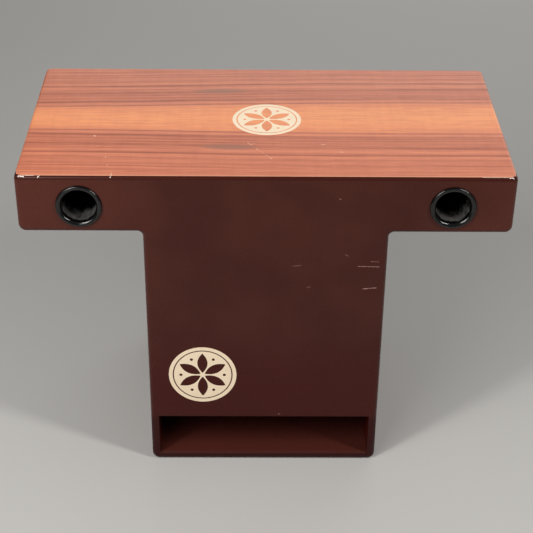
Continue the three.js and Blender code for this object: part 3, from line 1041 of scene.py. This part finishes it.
def shape(tree, kind, inputs):
    """What one of Geometry Nodes' own nodes makes out of its inputs."""
    return add_node(tree, f"GeometryNode{kind}", inputs).outputs[0]


def join(tree, *parts):
    """Join several geometries."""
    node = add_node(tree, "GeometryNodeJoinGeometry")
    for part in parts:
        tree.links.new(part, node.inputs[0])
    return node.outputs[0]


def ring_curve(tree, radius, points):
    """A circle of points as a curve."""
    return shape(tree, "CurvePrimitiveCircle", {"Resolution": points, "Radius": radius})


def coil(tree, length, lead, radius, steps, section):
    """A coil along Z that rises by a lead in each turn of so many steps, with a section along it."""
    inputs = {
        "Resolution": steps, "Rotations": calc(tree, "DIVIDE", length, lead), "Start Radius": radius,
        "End Radius": radius, "Height": length,
    }
    spiral = shape(tree, "CurveSpiral", inputs)
    return shape(tree, "CurveToMesh", {"Curve": spiral, "Profile Curve": section, "Fill Caps": True})


def end_tree(tree, geometry, material):
    """Close a tree with real geometry in its material."""
    real = shape(tree, "RealizeInstances", {0: geometry})
    dressed = shape(tree, "SetMaterial", {"Geometry": real, "Material": material})
    add_node(tree, "NodeGroupOutput", {0: dressed})


def grow(piece, tree, inputs):
    """Run a tree on a piece and keep the plain mesh that it makes."""
    modifier = piece.modifiers.new("tree", "NODES")
    modifier.node_group = tree
    items = [item for item in tree.interface.items_tree if item.in_out == "INPUT"]
    identifiers = {item.name: item.identifier for item in items}
    for name, value in inputs.items():
        modifier[identifiers[name]] = value
    bake_modifiers(piece)


print("geometry helpers ready")

# %% [markdown]
# ## Printed roundels
#
# A cream disc is printed on the front and another one on the top. Each carries a plain six-petal
# rosette, an old ornament that is drawn with a pair of compasses, left open in the print so that the
# paint or the wood shows through. In the tree, one petal is bent from a circle, copied round the centre,
# and filled together with the disc's rim, so that inner loops become holes. A thin extrusion gives the
# print its body.

# %% Roundel tree
PETAL_POINTS = 48
DOT_POINTS = 24
RIM_POINTS = 96
PRINT_MERGE = 0.001 * MM


def roundel_tree():
    """A disc with a line inside its rim, and with petals and dots round its centre left open."""
    sockets = {
        "Radius": "Float", "Rim": "Float", "Line": "Float", "Petals": "Int", "Petal Start": "Float",
        "Petal End": "Float", "Petal Width": "Float", "Dot": "Float", "Dot Place": "Float",
        "Thickness": "Float", "Material": "Material",
    }
    tree, given = new_tree("roundel", sockets)

    def copies(part, turn):
        """One copy of a part for each petal, turned round the centre from a share of the first step."""
        centre = shape(tree, "Points", {"Count": given["Petals"]})
        index = add_node(tree, "GeometryNodeInputIndex").outputs[0]
        step = calc(tree, "DIVIDE", math.tau, given["Petals"])
        angle = calc(tree, "MULTIPLY", calc(tree, "ADD", index, turn), step)
        inputs = {"Points": centre, "Instance": part, "Rotation": combine(tree, z=angle)}
        return shape(tree, "InstanceOnPoints", inputs)

    start, end = given["Petal Start"], given["Petal End"]
    middle = calc(tree, "MULTIPLY", calc(tree, "ADD", start, end), 0.5)
    half_length = calc(tree, "MULTIPLY", calc(tree, "SUBTRACT", end, start), 0.5)
    half_petal = calc(tree, "MULTIPLY", given["Petal Width"], 0.5)
    place = add_node(tree, "GeometryNodeInputPosition").outputs[0]
    x, y, _ = add_node(tree, "ShaderNodeSeparateXYZ", {0: place}).outputs
    petal_x = calc(tree, "MULTIPLY_ADD", x, half_length, middle)
    lens = calc(tree, "MULTIPLY", y, calc(tree, "ABSOLUTE", y))
    bent = combine(tree, petal_x, calc(tree, "MULTIPLY", lens, half_petal))
    unit_circle = ring_curve(tree, 1.0, PETAL_POINTS)
    petal = shape(tree, "SetPosition", {"Geometry": unit_circle, "Position": bent})
    dot_circle = ring_curve(tree, given["Dot"], DOT_POINTS)
    shift = combine(tree, given["Dot Place"])
    dot = shape(tree, "Transform", {"Geometry": dot_circle, "Translation": shift})

    line_out = calc(tree, "SUBTRACT", given["Radius"], given["Rim"])
    line_in = calc(tree, "SUBTRACT", line_out, given["Line"])
    rims = [ring_curve(tree, radius, RIM_POINTS) for radius in (given["Radius"], line_out, line_in)]
    loops = join(tree, *rims, copies(petal, 0.5), copies(dot, 0.0))
    sheet = shape(tree, "FillCurve", {"Curve": shape(tree, "RealizeInstances", {0: loops})})
    inputs = {"Mesh": sheet, "Offset Scale": given["Thickness"], "Individual": False}
    raised = shape(tree, "ExtrudeMesh", inputs)
    under = shape(tree, "FlipFaces", {0: sheet})
    closed_inputs = {"Geometry": join(tree, raised, under), "Distance": PRINT_MERGE}
    end_tree(tree, shape(tree, "MergeByDistance", closed_inputs), given["Material"])
    return tree


ROUNDEL = roundel_tree()
print("roundel tree:", len(ROUNDEL.nodes), "nodes")

# %% Roundels
CREAM = colour(255, 234, 204)
CREAM_WORN = colour(250, 226, 195)
ROUNDEL_SIZES = {
    "Radius": 36.6 * MM, "Rim": 4.2 * MM, "Line": 1.3 * MM, "Petals": 6, "Petal Start": 2.5 * MM,
    "Petal End": 28.5 * MM, "Petal Width": 11 * MM, "Dot": 1.7 * MM, "Dot Place": 23.5 * MM,
    "Thickness": 0.12 * MM,
}
FRONT_ROUNDEL = (-66.9 * MM, 118.6 * MM)
TOP_ROUNDEL = (1.3 * MM, -1.2 * MM)


def cream_finish():
    """Cream print with slightly worn patches."""
    finish, tree, shader = new_finish("cream_print")
    patch = noise(tree, object_axes(tree), (7 * MM,) * 3, detail=4.0)
    tone = blend(tree, fade(tree, patch, 0.4, 0.8), CREAM, CREAM_WORN)
    feed(tree, shader, {"Base Color": tone, "Roughness": 0.45})
    return finish


def print_roundel(name, place, slot):
    """A rosette disc whose printed face looks along the Z axis of a place."""
    disc = add_object(name, bpy.data.meshes.new(name))
    grow(disc, ROUNDEL, {**ROUNDEL_SIZES, "Material": cream_print})
    disc.data.transform(place)
    install(disc, slot)


cream_print = cream_finish()
upright = Matrix.Translation((FRONT_ROUNDEL[0], -half_depth, FRONT_ROUNDEL[1]))
print_roundel("front_roundel", upright @ Matrix.Rotation(math.pi / 2, 4, "X"), "body_paint")
print_roundel("top_roundel", Matrix.Translation((*TOP_ROUNDEL, plate_high.z)), "veneer")

# %% [markdown]
# ## Snare end plates
#
# A snare strand is ten coiled wires that are brazed to two bent end plates. An end plate is a strip of
# sheet that follows a path with two smooth bends, from the foot under the screws up to the lip under the
# wires. Two holes are cut in its foot for the screws, and a rounded bead of braze lies on its lip.

# %% Snare end plates
SHEET = 0.8 * MM
FOOT = 12 * MM
LIP_START = 15.9 * MM
LIP_END = 21.9 * MM
LIP_RISE = 4.3 * MM
BEND = 1.6 * MM
BEND_STEPS = 6
BRAZE_INSET = 1.4 * MM
BRAZE_SIZE = (2.0 * MM, 0.9 * MM)
BRAZE_TIP = 0.3
SCREW_HOLE = 1.8 * MM
SCREW_NUMBERS = (1, 2, 3, 4)
STEEL = colour(188, 185, 178)
STEEL_DULL = colour(150, 146, 138)


def steel_finish(name, bright, dull, roughness):
    """Bare or plated steel with duller patches."""
    finish, tree, shader = new_finish(name)
    tarnish = noise(tree, object_axes(tree), (4 * MM,) * 3, detail=4.0)
    feed(tree, shader, {
        "Base Color": blend(tree, fade(tree, tarnish, 0.35, 0.7), bright, dull),
        "Roughness": fade(tree, tarnish, 0.3, 0.7, roughness, roughness + 0.15),
        "Metallic": 1.0,
    })
    return finish


def bent_path(corners):
    """A path through corners, the inner ones drawn as smooth bends."""
    path = [corners[0]]
    for before, corner, after in zip(corners, corners[1:], corners[2:]):
        start = corner + (before - corner).normalized() * BEND
        end = corner + (after - corner).normalized() * BEND
        for step in range(BEND_STEPS + 1):
            share = step / BEND_STEPS
            path.append(start.lerp(corner, share).lerp(corner.lerp(end, share), share))
    return path + [corners[-1]]


def sheet_outline(path):
    """The outline of a sheet that follows a path, half its thickness to either side."""
    upper, lower = [], []
    for step, point in enumerate(path):
        along = path[min(step + 1, len(path) - 1)] - path[max(step - 1, 0)]
        across = Vector((-along.y, along.x)).normalized() * SHEET / 2
        upper.append(point + across)
        lower.append(point - across)
    return upper + lower[::-1]


def screw_places(side):
    """Where the heads of a strand's four screws sit: the middle of each head's top."""
    boxes = [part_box(f"{side}_snare_screw_{number}") for number in SCREW_NUMBERS]
    return [Vector(((low.x + high.x) / 2, (low.y + high.y) / 2, high.z)) for low, high in boxes]


def end_plate(side, end):
    """A bent end plate with its two screw holes, and the braze on its lip."""
    low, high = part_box(f"{side}_snare_strand")
    corners = [(0.0, SHEET / 2), (FOOT, SHEET / 2), (LIP_START, LIP_RISE), (LIP_END, LIP_RISE)]
    section = sheet_outline(bent_path([Vector(corner) for corner in corners]))
    rings = [[(x, end * (high.y - out), low.z + up) for out, up in section] for x in (low.x, high.x)]
    sheet = loft("end_plate", rings, snare_steel)
    holes = []
    for place in screw_places(side):
        if place.y * end > 0:
            ends = (low.z - SHEET, place.z)
            hole = [[(x, y, z) for x, y in circle(place.xy, SCREW_HOLE)] for z in ends]
            holes.append(loft("hole", hole, snare_steel))
    cut(sheet, holes)

    middle = (end * (high.y - (LIP_START + LIP_END) / 2), low.z + LIP_RISE + SHEET / 2)
    full = [(low.x + BRAZE_INSET, 1.0), (high.x - BRAZE_INSET, 1.0)]
    bead = []
    for x, share in [(low.x, BRAZE_TIP), *full, (high.x, BRAZE_TIP)]:
        size = (BRAZE_SIZE[0] * share, BRAZE_SIZE[1] * share)
        bead.append([(x, y, z) for y, z in ellipse(middle, size, 0, 360)[:-1]])
    return [sheet, loft("braze", bead, snare_steel)]


snare_steel = steel_finish("snare_steel", STEEL, STEEL_DULL, 0.25)
print("snare steel:", len(snare_steel.node_tree.nodes), "nodes")

# %% [markdown]
# ## Snare wires
#
# The wires are made by Geometry Nodes: a spiral curve gets a round section, is laid along the strand
# and copied along a line, one coil for each wire. The tree runs on the mesh of the two end plates and
# joins the wires to it, so that a strand is one piece.

# %% Snare strands
WIRES = {
    "Wires": 10, "Pitch": 2 * MM, "Lead": 1.5 * MM, "Coil Radius": 0.62 * MM, "Wire Radius": 0.17 * MM,
}
WIRE_MARGIN = 2 * MM
WIRE_HEIGHT = 5.2 * MM
WIRE_STEPS = 8
WIRE_SIDES = 5


def merge(name, pieces):
    """One object out of several pieces, which are deleted."""
    shell = bmesh.new()
    for piece in pieces:
        shell.from_mesh(piece.data)
        bpy.data.objects.remove(piece)
    mesh = bpy.data.meshes.new(name)
    shell.to_mesh(mesh)
    shell.free()
    return add_object(name, mesh)


def wire_tree():
    """Coiled wires side by side, added to the piece that the tree runs on."""
    sockets = {
        "Wires": "Int", "Pitch": "Float", "First Wire": "Vector", "Length": "Float", "Lead": "Float",
        "Coil Radius": "Float", "Wire Radius": "Float", "Material": "Material",
    }
    tree, given = new_tree("snare_wires", sockets)
    section = ring_curve(tree, given["Wire Radius"], WIRE_SIDES)
    wire = coil(tree, given["Length"], given["Lead"], given["Coil Radius"], WIRE_STEPS, section)
    laid = shape(tree, "Transform", {"Geometry": wire, "Rotation": (-math.pi / 2, 0.0, 0.0)})
    step = combine(tree, given["Pitch"])
    line_inputs = {"Count": given["Wires"], "Start Location": given["First Wire"], "Offset": step}
    places = shape(tree, "MeshLine", line_inputs)
    copies = shape(tree, "InstanceOnPoints", {"Points": places, "Instance": laid})
    end_tree(tree, join(tree, given["Geometry"], copies), given["Material"])
    return tree


def snare_strand(side):
    """A strand: two end plates with the wires between their lips."""
    low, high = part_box(f"{side}_snare_strand")
    strand = merge(f"{side}_snare_wires", end_plate(side, -1) + end_plate(side, 1))
    reach = high.y - LIP_START
    first = (low.x + WIRE_MARGIN, -reach, low.z + WIRE_HEIGHT)
    sizes = {**WIRES, "First Wire": first, "Length": 2 * reach}
    grow(strand, SNARE_WIRES, {**sizes, "Material": snare_steel})
    soften(strand)
    install(strand, "snare_steel", f"{side}_snare_strand")


SNARE_WIRES = wire_tree()
for side in SIDES:
    snare_strand(side)

# %% [markdown]
# ## Snare screws
#
# All eight screws are alike, so one is made and copied to the eight places by Geometry Nodes. Its body
# is turned from a profile, two tapered blades cut the cross in its head, and the thread is a spiral with
# a small four-sided section. A random turn for each copy keeps the crosses from lining up.

# %% One screw
SCREW_STEPS = 24
SHANK = 1.5 * MM
HEAD = 2.8 * MM
HEAD_HEIGHT = 2 * MM
HEAD_WALL = 0.6 * MM
HEAD_FLAT = 1.5 * MM
SCREW_LENGTH = 12 * MM
SCREW_TIP = 2 * MM
# A blade's height, half length and half width, in millimetres, at its top and at its bottom.
CROSS_LEVELS = [(2.2, 1.5, 0.38), (0.8, 0.8, 0.26)]
ZINC = colour(168, 168, 170)
ZINC_DULL = colour(128, 127, 128)


def cross_blade(turn):
    """One blade of the cross recess, tapered towards its bottom."""
    rings = []
    for height, reach, half in CROSS_LEVELS:
        corners = [(-reach, -half), (reach, -half), (reach, half), (-reach, half)]
        rings.append([turn @ Vector((x * MM, y * MM, height * MM)) for x, y in corners])
    return loft("blade", rings, screw_steel)


def pan_head_screw():
    """A screw about the Z axis, with the underside of its head at z = 0."""
    profile = [(0.0, -SCREW_LENGTH), (SHANK, SCREW_TIP - SCREW_LENGTH), (SHANK, 0.0), (HEAD, 0.0)]
    profile += ellipse((HEAD_FLAT, HEAD_WALL), (HEAD - HEAD_FLAT, HEAD_HEIGHT - HEAD_WALL), 0, 90)
    profile += [(0.0, HEAD_HEIGHT)]
    body = revolve("screw", profile, Matrix.Identity(4), screw_steel, SCREW_STEPS)
    cut(body, [cross_blade(Matrix.Rotation(angle, 3, "Z")) for angle in (0.0, math.pi / 2)])
    return body


screw_steel = steel_finish("zinc_plated_steel", ZINC, ZINC_DULL, 0.3)
screw = pan_head_screw()
print("one screw:", len(screw.data.polygons), "faces")

# %% Eight screws
THREAD = {"Thread Start": -10.2 * MM, "Thread Length": 9 * MM, "Thread Lead": 1.1 * MM}
THREAD_STEPS = 16
THREAD_SIDES = 4
THREAD_DEPTH = 0.25


def screw_tree():
    """A threaded screw at each point of the piece that the tree runs on."""
    sockets = {
        "Screw": "Object", "Shank": "Float", "Thread Start": "Float", "Thread Length": "Float",
        "Thread Lead": "Float", "Material": "Material",
    }
    tree, given = new_tree("snare_screws", sockets)
    body = add_node(tree, "GeometryNodeObjectInfo", {"Object": given["Screw"]}).outputs["Geometry"]
    length, lead = given["Thread Length"], given["Thread Lead"]
    section = ring_curve(tree, calc(tree, "MULTIPLY", lead, THREAD_DEPTH), THREAD_SIDES)
    thread = coil(tree, length, lead, given["Shank"], THREAD_STEPS, section)
    shift = combine(tree, z=given["Thread Start"])
    placed = shape(tree, "Transform", {"Geometry": thread, "Translation": shift})
    turn = add_node(tree, "FunctionNodeRandomValue", {2: 0.0, 3: math.tau}, data_type="FLOAT").outputs[1]
    threaded = join(tree, body, placed)
    inputs = {"Points": given["Geometry"], "Instance": threaded, "Rotation": combine(tree, z=turn)}
    end_tree(tree, shape(tree, "InstanceOnPoints", inputs), given["Material"])
    return tree


head_tops = [place for side in SIDES for place in screw_places(side)]
seats = [place - Vector((0.0, 0.0, HEAD_HEIGHT)) for place in head_tops]
screws = add_object("snare_screws", bpy.data.meshes.new("snare_screws"))
screws.data.from_pydata(seats, [], [])
grow(screws, screw_tree(), {**THREAD, "Screw": screw, "Shank": SHANK, "Material": screw_steel})
bpy.data.objects.remove(screw)
soften(screws)
screw_nodes = [f"{side}_snare_screw_{number}" for side in SIDES for number in SCREW_NUMBERS]
install(screws, "screw_steel", *screw_nodes)
